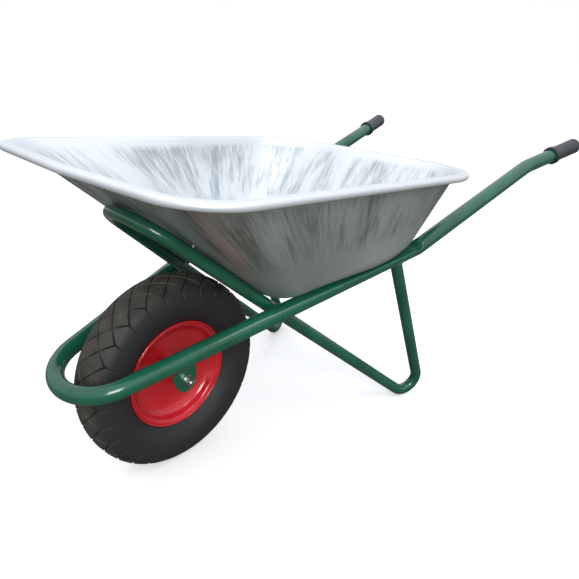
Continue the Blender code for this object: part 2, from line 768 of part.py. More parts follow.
def bolt_set(label, seat, axis, lift, pieces, zinc):
    """A round-head bolt with a washer under its head, screwed into the top wall of a tube.

    seat is the sheet's underside on the bolt's axis, and lift is how far a hollow sheet holds
    the washer's middle off its surface.
    """
    low = SHEET + GAP + lift
    top = low + WASHER_SHEET + GAP
    profile = [(0.0010, top + 0.0032), (0.0040, top + 0.0028), (0.0057, top + 0.0012), (0.0060, top),
               (BOLT_RADIUS, top), (BOLT_RADIUS, -BOLT_REACH + 0.0005),
               (BOLT_RADIUS - 0.0005, -BOLT_REACH)]
    solid_turned(f"tray_bolt_{label}", profile, zinc, seat, axis, count=12)
    bore = BOLT_RADIUS + GAP
    ring = [(bore, 0), (WASHER_RADIUS, 0), (WASHER_RADIUS, WASHER_SHEET), (bore, WASHER_SHEET)]
    turned(f"tray_washer_{label}", ring, zinc, seat + axis * low, axis, count=12)
    for piece in pieces:
        cut(piece, f"{piece.name}_hole_{label}", seat + axis * HOLE_SHIFT, axis, bore, HOLE_REACH,
            sides=12)


# Grips


def build_grip(name, side, plastic):
    """A sleeve with a collar at its inner end and a closed, rounded outer end."""
    end = at(HANDLE_END[0], side * HANDLE_END[1], HANDLE_END[2])
    bend = at(HANDLE_BEND[0], side * HANDLE_BEND[1], HANDLE_BEND[2])
    axis = (end - bend).normalized()
    inner = TUBE_RADIUS + 2 * GAP
    cap = 0.004
    back = -GRIP_LENGTH
    profile = [
        (0.0150, cap), (0.0178, cap - 0.0015), (GRIP_RADIUS, 0.0), (GRIP_RADIUS, back + 0.014),
        (0.0198, back + 0.0125), (COLLAR_RADIUS, back + 0.0105), (COLLAR_RADIUS, back + 0.0015),
        (0.0212, back), (inner, back), (inner, GAP),
    ]
    return solid_turned(name, profile, plastic, end, axis, count=16)


def main():
    clear_scene()
    green = material("green_enamel", (0.012, 0.145, 0.080), 0.22)
    red = material("red_enamel", (0.53, 0.014, 0.024), 0.20)
    zinc = material("galvanised_sheet", (0.55, 0.58, 0.60), 0.38, 0.9)
    bright = material("zinc_plate", (0.62, 0.62, 0.60), 0.30, 1.0)
    black = material("black_rubber", (0.022, 0.021, 0.022), 0.75)
    nylon = material("white_nylon", (0.62, 0.60, 0.55), 0.5)
    plastic = material("grip_plastic", (0.045, 0.047, 0.052), 0.5)

    frame_tube, legs = build_frame(green)
    for side, label in ((-1, "left"), (1, "right")):
        build_axle_plate(f"axle_plate_{label}", side, green)
    build_wheel(black, red, bright, nylon)
    build_axle(bright)
    tray = build_tray(zinc)
    build_tray_bolts(tray, frame_tube, legs, bright)
    for side, label in ((-1, "left"), (1, "right")):
        build_grip(f"grip_{label}", side, plastic)


main()
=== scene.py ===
# %% [markdown]
# # A builder's wheelbarrow
# This lesson takes a wheelbarrow that already works as a mechanism and gives it its looks. It
# asks the working model where things are, builds a finer piece there, and lets that piece ride
# on the same body. The frame stands still, and the wheel turns on its axle.

import json
from math import (acos, asin, atan2, ceil, copysign, cos, degrees, hypot, pi,
                  radians, sin, sqrt, tan, tau)

import bpy
from mathutils import Matrix, Vector, noise

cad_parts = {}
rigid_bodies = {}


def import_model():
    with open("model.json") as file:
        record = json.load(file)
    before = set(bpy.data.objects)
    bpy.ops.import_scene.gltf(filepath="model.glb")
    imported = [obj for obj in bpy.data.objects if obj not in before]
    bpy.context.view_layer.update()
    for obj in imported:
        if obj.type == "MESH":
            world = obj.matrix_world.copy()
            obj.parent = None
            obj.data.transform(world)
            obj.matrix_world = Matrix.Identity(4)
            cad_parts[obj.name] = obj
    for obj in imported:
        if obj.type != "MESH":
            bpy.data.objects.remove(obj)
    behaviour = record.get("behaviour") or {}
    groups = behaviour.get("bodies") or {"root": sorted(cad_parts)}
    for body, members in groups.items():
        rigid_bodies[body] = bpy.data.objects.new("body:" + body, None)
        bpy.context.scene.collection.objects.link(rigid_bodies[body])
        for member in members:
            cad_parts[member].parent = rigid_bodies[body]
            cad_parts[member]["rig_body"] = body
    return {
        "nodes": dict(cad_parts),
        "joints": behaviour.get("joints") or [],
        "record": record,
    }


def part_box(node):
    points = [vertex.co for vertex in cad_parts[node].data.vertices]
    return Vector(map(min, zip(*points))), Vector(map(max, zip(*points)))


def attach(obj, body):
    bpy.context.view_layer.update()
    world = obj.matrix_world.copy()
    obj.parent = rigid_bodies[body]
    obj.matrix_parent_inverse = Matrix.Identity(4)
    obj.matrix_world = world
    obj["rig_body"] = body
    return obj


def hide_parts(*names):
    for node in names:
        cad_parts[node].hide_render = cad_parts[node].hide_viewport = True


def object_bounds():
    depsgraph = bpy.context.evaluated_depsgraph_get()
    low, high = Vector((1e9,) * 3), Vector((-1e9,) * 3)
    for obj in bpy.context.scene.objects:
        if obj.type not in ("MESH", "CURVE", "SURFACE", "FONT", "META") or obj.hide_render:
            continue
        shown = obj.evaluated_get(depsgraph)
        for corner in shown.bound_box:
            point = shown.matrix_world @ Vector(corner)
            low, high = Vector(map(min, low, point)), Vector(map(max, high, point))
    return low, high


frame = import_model()
cad_low, cad_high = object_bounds()
MM = 0.001
SLOTS = {part["node"]: part["material_slot"] for part in frame["record"]["subparts"]}
AXLE = Vector(frame["joints"][0]["pos_m"])


def rounded(numbers):
    """Numbers to a tenth of a millimetre, for printing."""
    return [round(v, 4) for v in numbers]


print("CAD box", rounded(cad_low), rounded(cad_high), "axle", tuple(AXLE))

# %% [markdown]
# ## The camera and the light
# The camera stands ahead of the wheel and to its left, a little over waist height, and looks
# down along the barrow. Its place is given from the axle. The light is that of a bright
# overcast day: a pale sky all round, brighter above, and two wide panels that give the enamel
# its long soft highlights.

# %% Camera
CAMERA_FROM_AXLE = Vector((-0.5761, -0.8074, 0.6182))
YAW, PITCH, ROLL = (radians(angle) for angle in (43.50, 24.14, 0.85))
camera = bpy.data.objects.new("camera", bpy.data.cameras.new("camera"))
bpy.context.scene.collection.objects.link(camera)
turn = Matrix.Rotation(-YAW, 4, "Z") @ Matrix.Rotation(pi / 2 - PITCH, 4, "X")
turn = turn @ Matrix.Rotation(ROLL, 4, "Z")
camera.matrix_world = Matrix.Translation(AXLE + CAMERA_FROM_AXLE) @ turn
camera.data.sensor_width = 36.0
camera.data.lens = 35.5
camera.data.shift_x = 0.0865
camera.data.shift_y = -0.0015
bpy.context.scene.camera = camera
bpy.context.scene.view_settings.view_transform = "Standard"
print("camera at", rounded(camera.location))

# %% [markdown]
# ## Helpers for colours and nodes
# Paint charts and screens give colours as sRGB hex values, but a shader works in linear light,
# so one function converts them. A second one adds a node to a material and feeds its inputs,
# each with a number or with another node's output. Every finish below is made with those two.


# %% Colour and node helpers
def srgb(text):
    """A hex colour such as "808080" as linear red, green, blue and alpha."""
    parts = [int(text[i:i + 2], 16) / 255 for i in (0, 2, 4)]
    linear = [c / 12.92 if c <= 0.04045 else ((c + 0.055) / 1.055) ** 2.4 for c in parts]
    return (*linear, 1.0)


def feed(tree, node, inputs):
    """Feeds a node's inputs with values or with other nodes' outputs."""
    for name, value in inputs.items():
        if isinstance(value, bpy.types.NodeSocket):
            tree.links.new(value, node.inputs[name])
        else:
            node.inputs[name].default_value = value


def add(tree, kind, inputs=None, **settings):
    """Adds a node, sets its properties and feeds its inputs."""
    made = tree.nodes.new("ShaderNode" + kind)
    for name, value in settings.items():
        setattr(made, name, value)
    feed(tree, made, inputs or {})
    return made


def finish_named(name, **constants):
    """A new material, with its node tree and its shader, whose constant inputs are set."""
    made = bpy.data.materials.new(name)
    made.use_nodes = True
    shader = made.node_tree.nodes["Principled BSDF"]
    feed(made.node_tree, shader, {key.replace("_", " ").title().replace("Ior", "IOR"): value
                                  for key, value in constants.items()})
    return made, made.node_tree, shader


def per_mm(size):
    """The texture scale at which one feature of a noise is about size millimetres across."""
    return 1.0 / (size * MM)


print("mid grey is", round(srgb("808080")[0], 3), "in linear light")

# %% Sky, light panels and floor
world = bpy.data.worlds.new("overcast_sky")
bpy.context.scene.world = world
world.use_nodes = True
sky = world.node_tree
direction = add(sky, "TexCoord").outputs["Generated"]
height = add(sky, "SeparateXYZ", {"Vector": direction}).outputs["Z"]
glow = add(sky, "MapRange", {"Value": height, "From Min": 0.0, "From Max": 0.9,
                             "To Min": 0.62, "To Max": 1.00})
straight = add(sky, "LightPath").outputs["Is Camera Ray"]
backdrop = add(sky, "MixRGB", {"Fac": straight, "Color1": glow.outputs["Result"],
                               "Color2": srgb("ffffff")})
hue = add(sky, "MixRGB", {"Fac": straight, "Color1": srgb("f6f9ff"), "Color2": srgb("ffffff")})
feed(sky, sky.nodes["Background"], {"Color": hue.outputs["Color"],
                                    "Strength": backdrop.outputs["Color"]})


def light_panel(name, place, aim, size, power):
    """A soft light of a given width and length that points from place at aim, from the axle."""
    lamp = bpy.data.lights.new(name, "AREA")
    lamp.shape, lamp.energy = "RECTANGLE", power
    lamp.size, lamp.size_y = size
    panel = bpy.data.objects.new(name, lamp)
    bpy.context.scene.collection.objects.link(panel)
    back = (Vector(place) - Vector(aim)).normalized()
    panel.matrix_world = (Matrix.Translation(AXLE + Vector(place))
                          @ back.to_track_quat("Z", "Y").to_matrix().to_4x4())
    return panel


light_panel("front_panel", (-1.5, -2.1, 1.5), (0.1, 0, 0.1), (1.1, 1.1), 40)
light_panel("top_panel", (0.4, -0.3, 2.5), (0.4, 0, 0.2), (0.8, 5.0), 26)
bpy.ops.mesh.primitive_plane_add(size=40, location=(0, 0, cad_low.z))
floor = bpy.context.object
floor.name = "studio_floor"
paper, tree, shader = finish_named("matt_paper", roughness=0.9, specular_ior_level=0.2)
mottle = add(tree, "TexNoise", {"Vector": add(tree, "TexCoord").outputs["Object"],
                                "Scale": 2.0, "Detail": 3.0})
tint = add(tree, "ValToRGB", {"Fac": mottle.outputs["Fac"]})
for stop, tone in zip(tint.color_ramp.elements, ("f9f9f9", "fdfdfd")):
    stop.color = srgb(tone)
seen = add(tree, "LightPath").outputs["Is Camera Ray"]
soft = add(tree, "MixRGB", {"Fac": seen, "Color1": srgb("706f6a"),
                            "Color2": tint.outputs["Color"]})
shine = add(tree, "Math", {0: seen, 1: 0.30}, operation="MULTIPLY")
feed(tree, shader, {"Base Color": soft.outputs["Color"], "Emission Color": srgb("ffffff"),
                    "Emission Strength": shine.outputs[0]})
floor.data.materials.append(paper)
print("stage set with", [lamp.name for lamp in bpy.data.lights])

# %% [markdown]
# The sky and the paper are told apart by who looks at them. The camera sees both as white,
# as in a catalogue, while the barrow is lit as it would be in a yard, with a bright sky above
# and dull ground below. That gives the enamel dark undersides and clear highlights.

# %% [markdown]
# ## Enamel, zinc plate and plastics
# The frame is dipped or sprayed in gloss enamel. Real enamel is never a mirror: it dries with
# a fine orange peel a few millimetres across, and it pools a little darker where it is thick.
# A noise at that size drives the bump, and much larger ones shift the colour and the gloss.
# The other plain finishes need the same three noises, each at the size of its own grain:
# fasteners are zinc plated, the grips are moulded PVC, and the hub's bushes are plain nylon.


# %% Enamel, zinc plate and plastics
def finish(name, low, high, grains, gloss, relief, **constants):
    """A finish whose colour, gloss and relief vary over three grains of (size, detail)."""
    made, tree, shader = finish_named(name, **constants)
    place = add(tree, "TexCoord").outputs["Object"]
    colour, sheen, peel = (add(tree, "TexNoise", {"Vector": place, "Scale": per_mm(size),
                                                  "Detail": detail}) for size, detail in grains)
    shade = add(tree, "ValToRGB", {"Fac": colour.outputs["Fac"]})
    for stop, at, tone in zip(shade.color_ramp.elements, (0.3, 0.7), (low, high)):
        stop.position, stop.color = at, srgb(tone)
    spread = add(tree, "MapRange", {"Value": sheen.outputs["Fac"], "To Min": gloss[0],
                                    "To Max": gloss[1]})
    bump = add(tree, "Bump", {"Height": peel.outputs["Fac"], "Strength": relief[0],
                              "Distance": relief[1] * MM})
    feed(tree, shader, {"Base Color": shade.outputs["Color"], "Normal": bump.outputs["Normal"],
                        "Roughness": spread.outputs["Result"]})
    return made


PAINT_GRAINS, PAINT_RELIEF = ((70, 4.0), (25, 6.0), (3, 2.0)), (0.10, 0.6)
COAT = {"ior": 1.5, "coat_weight": 0.6, "coat_roughness": 0.06}
green_enamel = finish("green_enamel_on_steel", "0c5039", "14644a", PAINT_GRAINS, (0.11, 0.27),
                      PAINT_RELIEF, **COAT)
red_enamel = finish("red_enamel_on_steel", "c4121e", "d61f2c", PAINT_GRAINS, (0.10, 0.26),
                    PAINT_RELIEF, **COAT)
zinc_plate = finish("zinc_plate_on_steel", "9a9c9a", "c6c8c4", ((4, 5.0),) * 3, (0.23, 0.37),
                    (0.15, 0.2), metallic=1.0)
nylon = finish("natural_nylon", "cfc9ba", "dcd7ca", ((6, 5.0),) * 3, (0.38, 0.52),
               (0.1, 0.2), ior=1.53)
grip_plastic = finish("moulded_pvc", "2b2d31", "3d4045", ((5, 5.0),) * 3, (0.29, 0.43),
                      (0.2, 0.2), ior=1.53)
print("finishes", green_enamel.name, red_enamel.name, zinc_plate.name, nylon.name)

# %% [markdown]
# ## Galvanised sheet
# The tray is drawn from zinc-coated sheet. Zinc scatters light, so it is a metal with a high
# roughness. The press drags it over the die, which leaves streaks that run from the floor up
# to the rim, darkest on the upper walls. The streaks follow the sheet and not the room, so
# they are drawn on a UV map in metres: U runs round the tray and V runs up its wall.
# The sheet has two copies of this finish. The outside one is darker, as painted shade, and the
# inside one is lighter, as painted light.


# %% Galvanised sheet
def galvanised(name, bright, dull, smudge, streak_from, roughness, metallic):
    """Zinc-coated sheet with draw streaks that start streak_from up the wall, from 0 to 1."""
    made, tree, shader = finish_named(name, metallic=metallic)
    uv = add(tree, "TexCoord").outputs["UV"]
    fine_at = add(tree, "Mapping", {"Vector": uv, "Scale": (per_mm(5), per_mm(75), 1.0)})
    fine = add(tree, "TexNoise", {"Vector": fine_at.outputs["Vector"], "Scale": 1.0,
                                  "Detail": 5.0, "Roughness": 0.65})
    wide_at = add(tree, "Mapping", {"Vector": uv, "Scale": (per_mm(38), per_mm(150), 1.0)})
    wide = add(tree, "TexNoise", {"Vector": wide_at.outputs["Vector"], "Scale": 1.0,
                                  "Detail": 3.0})
    patch = add(tree, "TexNoise", {"Vector": uv, "Scale": per_mm(160), "Detail": 3.0})
    rise = add(tree, "Attribute", attribute_name="rise").outputs["Fac"]
    wander = add(tree, "Math", {0: patch.outputs["Fac"], 1: 0.22, 2: -0.11},
                 operation="MULTIPLY_ADD")
    level = add(tree, "Math", {0: rise, 1: wander.outputs[0]}, operation="ADD")
    band = add(tree, "MapRange", {"Value": level.outputs[0], "From Min": streak_from,
                                  "From Max": streak_from + 0.10})
    drag = add(tree, "Math", {0: fine.outputs["Fac"], 1: wide.outputs["Fac"]},
               operation="MULTIPLY")
    marks = add(tree, "MapRange", {"Value": drag.outputs[0], "From Min": 0.21,
                                   "From Max": 0.36})
    below_lip = add(tree, "MapRange", {"Value": rise, "From Min": 0.84, "From Max": 0.79})
    drawn = add(tree, "Math", {0: band.outputs["Result"], 1: below_lip.outputs["Result"]},
                operation="MULTIPLY")
    shown = add(tree, "Math", {0: marks.outputs["Result"], 1: drawn.outputs[0]},
                operation="MULTIPLY")
    sheet = add(tree, "ValToRGB", {"Fac": patch.outputs["Fac"]})
    for stop, at, tone in zip(sheet.color_ramp.elements, (0.3, 0.7), (dull, bright)):
        stop.position, stop.color = at, srgb(tone)
    mixed = add(tree, "MixRGB", {"Fac": shown.outputs[0], "Color1": sheet.outputs["Color"],
                                 "Color2": srgb(smudge)})
    dulled = add(tree, "MapRange", {"Value": fine.outputs["Fac"], "To Min": roughness - 0.06,
                                    "To Max": roughness + 0.14})
    bump = add(tree, "Bump", {"Height": fine.outputs["Fac"], "Strength": 0.22,
                              "Distance": 0.3 * MM})
    feed(tree, shader, {"Base Color": mixed.outputs["Color"], "Normal": bump.outputs["Normal"],
                        "Roughness": dulled.outputs["Result"]})
    return made


# the outside copy is darker, as painted shade on walls that face down; the inside copy is
# lighter, as painted light on walls that face up; the draw streaks in both are the sheet's own
zinc_outside_painted_shade = galvanised("galvanised_sheet_outside_painted_shade", "bfc6c6", "adb4b4", "888a84",
                          streak_from=0.36, roughness=0.40, metallic=0.6)
zinc_inside_painted_light = galvanised("galvanised_sheet_inside_painted_light", "e6ebee", "dae0e4", "aab2b7",
                         streak_from=0.10, roughness=0.45, metallic=0.45)
print("tray finishes", zinc_outside_painted_shade.name, zinc_inside_painted_light.name)

# %% [markdown]
# ## Rubber
# Vulcanised rubber is matt and charcoal grey, and its tread holds dry soil, so the dust is
# stronger the further a point lies from the axle. The inner tube is black and clean.


# %% Rubber, and every node's finish
def rubber(name, clean, dust, tread_from, tread_full):
    """Matt rubber, dusty between two distances from the axle."""
    made, tree, shader = finish_named(name, ior=1.5, specular_ior_level=0.45)
    place = add(tree, "TexCoord").outputs["Object"]
    flat = add(tree, "Mapping", {"Vector": place, "Location": (-AXLE.x, 0.0, -AXLE.z),
                                 "Scale": (1.0, 0.0, 1.0)})
    reach = add(tree, "VectorMath", {0: flat.outputs["Vector"]}, operation="LENGTH")
    tread = add(tree, "MapRange", {"Value": reach.outputs["Value"], "From Min": tread_from,
                                   "From Max": tread_full})
    clouds = add(tree, "TexNoise", {"Vector": place, "Scale": per_mm(30), "Detail": 7.0})
    amount = add(tree, "Math", {0: clouds.outputs["Fac"], 1: tread.outputs["Result"]},
                 operation="MULTIPLY")
    spread = add(tree, "MapRange", {"Value": amount.outputs[0], "From Min": 0.25,
                                    "From Max": 0.75, "To Max": 0.85})
    mixed = add(tree, "MixRGB", {"Fac": spread.outputs["Result"], "Color1": srgb(clean),
                                 "Color2": srgb(dust)})
    matt = add(tree, "MapRange", {"Value": clouds.outputs["Fac"], "To Min": 0.46,
                                  "To Max": 0.74})
    grain = add(tree, "TexNoise", {"Vector": place, "Scale": per_mm(1.6), "Detail": 3.0})
    bump = add(tree, "Bump", {"Height": grain.outputs["Fac"], "Strength": 0.35,
                              "Distance": 0.25 * MM})
    feed(tree, shader, {"Base Color": mixed.outputs["Color"], "Normal": bump.outputs["Normal"],
                        "Roughness": matt.outputs["Result"]})
    return made


tyre_rubber = rubber("vulcanised_rubber", "2a2b2d", "565044", 0.170, 0.198)
tube_rubber = rubber("butyl_rubber", "161617", "1d1d1e", 0.0, 0.5)
FINISHES = {"green_enamel": green_enamel, "red_enamel": red_enamel, "zinc_plate": zinc_plate,
            "galvanised_sheet": zinc_outside_painted_shade, "tyre_rubber": tyre_rubber,
            "butyl_rubber": tube_rubber, "bearing_nylon": nylon, "grip_plastic": grip_plastic}
for name, node in frame["nodes"].items():
    node.data.materials.clear()
    node.data.materials.append(FINISHES[SLOTS[name]])
print(len(frame["nodes"]), "nodes finished")

# %% [markdown]
# ## Modelling helpers
# A piece starts as a primitive, is shaped in edit mode, and ends at the origin with its place
# in its mesh, which is how the working model stores its own nodes. take_place then gives it
# the finish of the node that it stands for, and lets it ride on the same body.


# %% Modelling helpers
def only(obj):
    """Selects one object and nothing else."""
    bpy.ops.object.select_all(action="DESELECT")
    obj.select_set(True)
    bpy.context.view_layer.objects.active = obj


def edit(obj, action="SELECT"):
    """Opens one object in edit mode, with everything in it selected or deselected."""
    only(obj)
    bpy.ops.object.mode_set(mode="EDIT")
    bpy.ops.mesh.select_all(action=action)


def leave():
    """Closes edit mode."""
    bpy.ops.object.mode_set(mode="OBJECT")


def face_out():
    """Turns every face of the piece in edit mode outwards."""
    bpy.ops.mesh.select_all(action="SELECT")
    bpy.ops.mesh.normals_make_consistent(inside=False)


def ring_primitive(name, points):
    """A circle primitive, one vertex for each point, laid on a closed outline."""
    bpy.ops.object.select_all(action="DESELECT")
    bpy.ops.mesh.primitive_circle_add(vertices=len(points))
    obj = bpy.context.object
    obj.name = name
    for vertex, point in zip(obj.data.vertices, points):
        vertex.co = point
    return obj


def round_off(obj, angle=35.0):
    """Merges what coincides, turns every face outwards and shades the round parts smooth."""
    edit(obj)
    bpy.ops.mesh.remove_doubles(threshold=0.01 * MM)
    bpy.ops.mesh.delete_loose()
    face_out()
    leave()
    bpy.ops.object.shade_smooth_by_angle(angle=radians(angle))
    return obj


def turned(name, outline, centre, axis, steps=48, angle=35.0):
    """Spins a closed outline of (radius, along) pairs once round an axis."""
    across = axis.orthogonal().normalized()
    obj = ring_primitive(name, [centre + across * r + axis * h for r, h in outline])
    edit(obj)
    bpy.ops.mesh.spin(steps=steps, angle=tau, center=centre, axis=axis)
    leave()
    return round_off(obj, angle)


def take_place(piece, name):
    """Lets a finished piece stand for a CAD node: its material, slot and body."""
    if not piece.data.materials:
        piece.data.materials.append(FINISHES[SLOTS[name]])
    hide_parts(name)
    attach(piece, frame["nodes"][name]["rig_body"])


def arc(centre_r, centre_h, radius, start, stop, count):
    """Points of an arc in an outline, as (radius, along) pairs, between two angles in degrees."""
    angles = [radians(start + (stop - start) * i / count) for i in range(count + 1)]
    return [(centre_r + radius * cos(a), centre_h + radius * sin(a)) for a in angles]


Y_AXIS = Vector((0, 1, 0))
SIDES = (("left", -1), ("right", 1))
print("helpers ready")

# %% [markdown]
# ## The bent tubes
# Both tubes are bent cold from one length each. A bender makes straight runs joined by arcs, so
# a tube is a list of corners, each with its bend radius, and one function rounds the corners.
# The corners are given from the axle, as a bender's drawing would give them, for one side, and
# the other side mirrors them. A curve with a round bevel then gives the tube its skin.

# %% Corners of the two tubes
# each corner is its place from the axle's foot on the ground, and its bend radius
TUBE, LEG = 16.5 * MM, 12.5 * MM
MAIN_CORNERS = (((1.1010, 0.3000, 0.5590), 0), ((0.9110, 0.2640, 0.5250), 0.16),
                ((0.4780, 0.2390, 0.4100), 0.045), ((-0.5517, 0.0, 0.1857), 0.0939))
LEG_CORNERS = (((0.4190, 0.2252, 0.3974), 0), ((0.6340, 0.2350, -0.0690), 0.0333),
               ((0.1470, 0.1306, 0.3380), 0.25), ((-0.3869, 0.0, 0.7925), 0.0876))
GROUND = Vector((AXLE.x, 0, 0))


def corner_arc(before, corner, after, radius, count):
    """Points round a corner that is eased to a radius, in count steps."""
    into, out = (before - corner).normalized(), (after - corner).normalized()
    half = into.angle(out) / 2
    middle = corner + (into + out).normalized() * (radius / sin(half))
    start = corner + into * (radius / tan(half)) - middle
    around = start.cross(corner + out * (radius / tan(half)) - middle).normalized()
    bend = pi - 2 * half
    return [middle + Matrix.Rotation(bend * i / count, 3, around) @ start
            for i in range(count + 1)]


def divided(line, step):
    """A line with points added so that none lie much further apart than step."""
    dense = [line[0]]
    for one, two in zip(line, line[1:]):
        pieces = max(1, round((two - one).length / step))
        dense += [one.lerp(two, i / pieces) for i in range(1, pieces + 1)]
    return dense


def rounded_run(corners, step):
    """The centre line through corners that are rounded to their radii, in steps of about step."""
    places = [GROUND + Vector(place) for place, _ in corners]
    radii = [radius for _, radius in corners]
    mirror = Vector((1, -1, 1))
    places += [place * mirror for place in reversed(places[:-1])]
    radii += list(reversed(radii[:-1]))
    line = [places[0]]
    for before, corner, after, radius in zip(places, places[1:], places[2:], radii[1:]):
        bend = pi - (before - corner).angle(after - corner)
        count = max(2, ceil(bend * radius / (0.5 * step)))
        line += corner_arc(before, corner, after, radius, count)
    return divided(line + [places[-1]], step)


main_line = rounded_run(MAIN_CORNERS, 9 * MM)
leg_line = rounded_run(LEG_CORNERS, 12 * MM)
print("main tube line has", len(main_line), "points, leg tube line", len(leg_line))


# %% Skin the tubes
def skinned(name, line, radius, twist="MINIMUM", sides=10, smooth=50, swells=None):
    """A closed round bar along a line, from a bevelled curve that is made a mesh."""
    curve = bpy.data.curves.new(name, "CURVE")
    curve.dimensions, curve.twist_mode = "3D", twist
    curve.bevel_depth, curve.bevel_resolution, curve.use_fill_caps = radius, sides, True
    spline = curve.splines.new("POLY")
    spline.points.add(len(line) - 1)
    for point, place, swell in zip(spline.points, line, swells or [1.0] * len(line)):
        point.co, point.radius = (*place, 1.0), swell
    obj = bpy.data.objects.new(name, curve)
    bpy.context.scene.collection.objects.link(obj)
    only(obj)
    bpy.ops.object.convert(target="MESH")
    obj = bpy.context.object
    obj.name = name
    return round_off(obj, smooth)


handle_tube = skinned("handle_tube", main_line, TUBE, "Z_UP")
leg_tube = skinned("leg_tube", leg_line, LEG)
for piece, node in ((handle_tube, "main_frame_tube"), (leg_tube, "leg_support_tube")):
    low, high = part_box(node)
    print(piece.name, rounded(piece.dimensions), "CAD", rounded(high - low))

# %% [markdown]
# The rails are pressed flat where the tray sits on them. The press stops just short of the
# handles and leaves a sharp step there. The floor of the tray gives the plane of the press, so
# every vertex of the tube above that plane moves down onto it, with a short ramp at each end.

# %% Press the seat
floor_mount = next(m for m in frame["record"]["mounts"] if m["name"] == "tray_floor")
FLOOR_POINT, FLOOR_UP = Vector(floor_mount["pos_m"]), Vector(floor_mount["axis"]).normalized()
SHEET = 1.5 * MM
SEAT_FROM, SEAT_TO = GROUND.x + 0.150, GROUND.x + 0.472
RAMP_IN, RAMP_OUT = 45 * MM, 5 * MM
for vertex in handle_tube.data.vertices:
    place = vertex.co
    ramp = max((SEAT_FROM - place.x) / RAMP_IN, (place.x - SEAT_TO) / RAMP_OUT, 0.0)
    over = (place - FLOOR_POINT).dot(FLOOR_UP) + SHEET + 0.3 * MM
    if over > 0 and ramp < 1 and abs(place.y) > 0.1:
        vertex.co = place - FLOOR_UP * over * (1 - ramp * ramp)
take_place(handle_tube, "main_frame_tube")
take_place(leg_tube, "leg_support_tube")
print("seat pressed between", round(SEAT_FROM, 3), "and", round(SEAT_TO, 3))

# %% [markdown]
# ## The tray
# The tray is drawn in one piece: a flat floor, a generous radius up into walls that lean out,
# and a flange whose edge is rolled under into a bead. Floor and rim are rounded trapezoids of
# different shapes, so no scaling turns one into the other. Each station round the tray gets
# the same section, worked out from its own foot and rim point, and the sections are skinned.

# %% Outlines of the floor and the rim
low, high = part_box("tray")
RIM_FRONT, RIM_REAR = GROUND.x - 0.1776, high.x - SHEET
FLANGE, BEAD, DRAW, LIP = 22 * MM, 5 * MM, 50 * MM, 8 * MM
STATIONS = (9, 16, 9, 14)  # along the half front, one side, the half rear, and each corner


def trapezoid(front, rear, front_half, rear_half, front_r, rear_r, bow):
    """Points round a rounded trapezoid whose front edge bows forwards by bow."""
    in_front, in_side, in_rear, in_corner = STATIONS
    tip = Vector((front - bow, 0, 0))
    shoulder, heel = Vector((front, front_half, 0)), Vector((rear, rear_half, 0))
    back = Vector((rear, 0, 0))
    arcs = (corner_arc(tip, shoulder, heel, front_r, in_corner),
            corner_arc(shoulder, heel, back, rear_r, in_corner))
    side = [tip.lerp(arcs[0][0], i / in_front) for i in range(in_front)] + arcs[0]
    side += [arcs[0][-1].lerp(arcs[1][0], i / in_side) for i in range(1, in_side)] + arcs[1]
    side += [arcs[1][-1].lerp(back, i / in_rear) for i in range(1, in_rear + 1)]
    return side + [Vector((p.x, -p.y, 0)) for p in reversed(side[1:-1])]


feet = trapezoid(GROUND.x + 0.174, GROUND.x + 0.488, 0.153, 0.236, 0.050, 0.062, 0.004)
tops = trapezoid(RIM_FRONT + FLANGE, RIM_REAR - FLANGE, 0.318 - FLANGE, 0.303 - FLANGE,
                 0.105 - 0.8 * FLANGE, 0.165 - FLANGE, 0.018)
edges = trapezoid(RIM_FRONT, RIM_REAR, 0.318, 0.303, 0.105, 0.165, 0.018)
print("tray has", len(feet), "stations, rim from", round(RIM_FRONT, 4), "to", round(RIM_REAR, 4))


# %% One section of the tray
def floor_at(place):
    """A point of the floor's underside below or above place."""
    under = FLOOR_POINT - FLOOR_UP * SHEET
    drop = (under - place).dot(FLOOR_UP) / FLOOR_UP.z
    return Vector((place.x, place.y, place.z + drop))


def rim_at(place):
    """A point of the rim's underside: the rim falls gently from the wheel to the handles."""
    return Vector((place.x, place.y, 0.5549 - 0.0941 * (place.x - GROUND.x - 0.6434)))


def wall_slope(reach, rise, start):
    """The slope at which a wall leaves its drawn radius to end reach out and rise up."""
    low_angle, high_angle = start + 0.05, radians(89.5)
    for _ in range(40):
        angle = (low_angle + high_angle) / 2
        out = DRAW * (sin(angle) - sin(start))
        up = DRAW * (cos(start) - cos(angle))
        if out + (rise - up) / tan(angle) > reach:
            low_angle = angle
        else:
            high_angle = angle
    return angle


def section(foot, top, edge):
    """The sheet's underside from the floor's edge, up the wall, to the end of the bead."""
    foot, top, edge = floor_at(foot), rim_at(top), rim_at(edge)
    out, up = Vector((top.x - foot.x, top.y - foot.y, 0)), Vector((0, 0, 1))
    reach = out.length
    out.normalize()
    start = asin(-FLOOR_UP.x) * out.x
    slope = wall_slope(reach, top.z - foot.z, start)
    points = [foot]
    for i in range(1, 11):
        angle = start + (slope - start) * i / 10
        points.append(foot + out * DRAW * (sin(angle) - sin(start))
                      + up * DRAW * (cos(start) - cos(angle)))
    knee, flat = points[-1], (edge - top).normalized()
    wall = (top - knee).normalized()
    lip_from = top - wall * LIP
    points += [knee.lerp(lip_from, i / 9) for i in range(1, 10)]
    lip_to = top + flat * LIP * 0.6
    for i in range(1, 5):
        share = i / 5
        points.append(lip_from.lerp(top, share).lerp(top.lerp(lip_to, share), share))
    points.append(lip_to)
    middle = top + flat * ((edge - top).length - BEAD) - up * BEAD
    points.append(lip_to.lerp(middle + up * BEAD, 0.5))
    for angle in map(radians, range(90, -106, -15)):
        points.append(middle + flat * BEAD * cos(angle) + up * BEAD * sin(angle))
    return points


sections = [section(foot, top, edge) for foot, top, edge in zip(feet, tops, edges)]
print("each section has", len(sections[0]), "points")

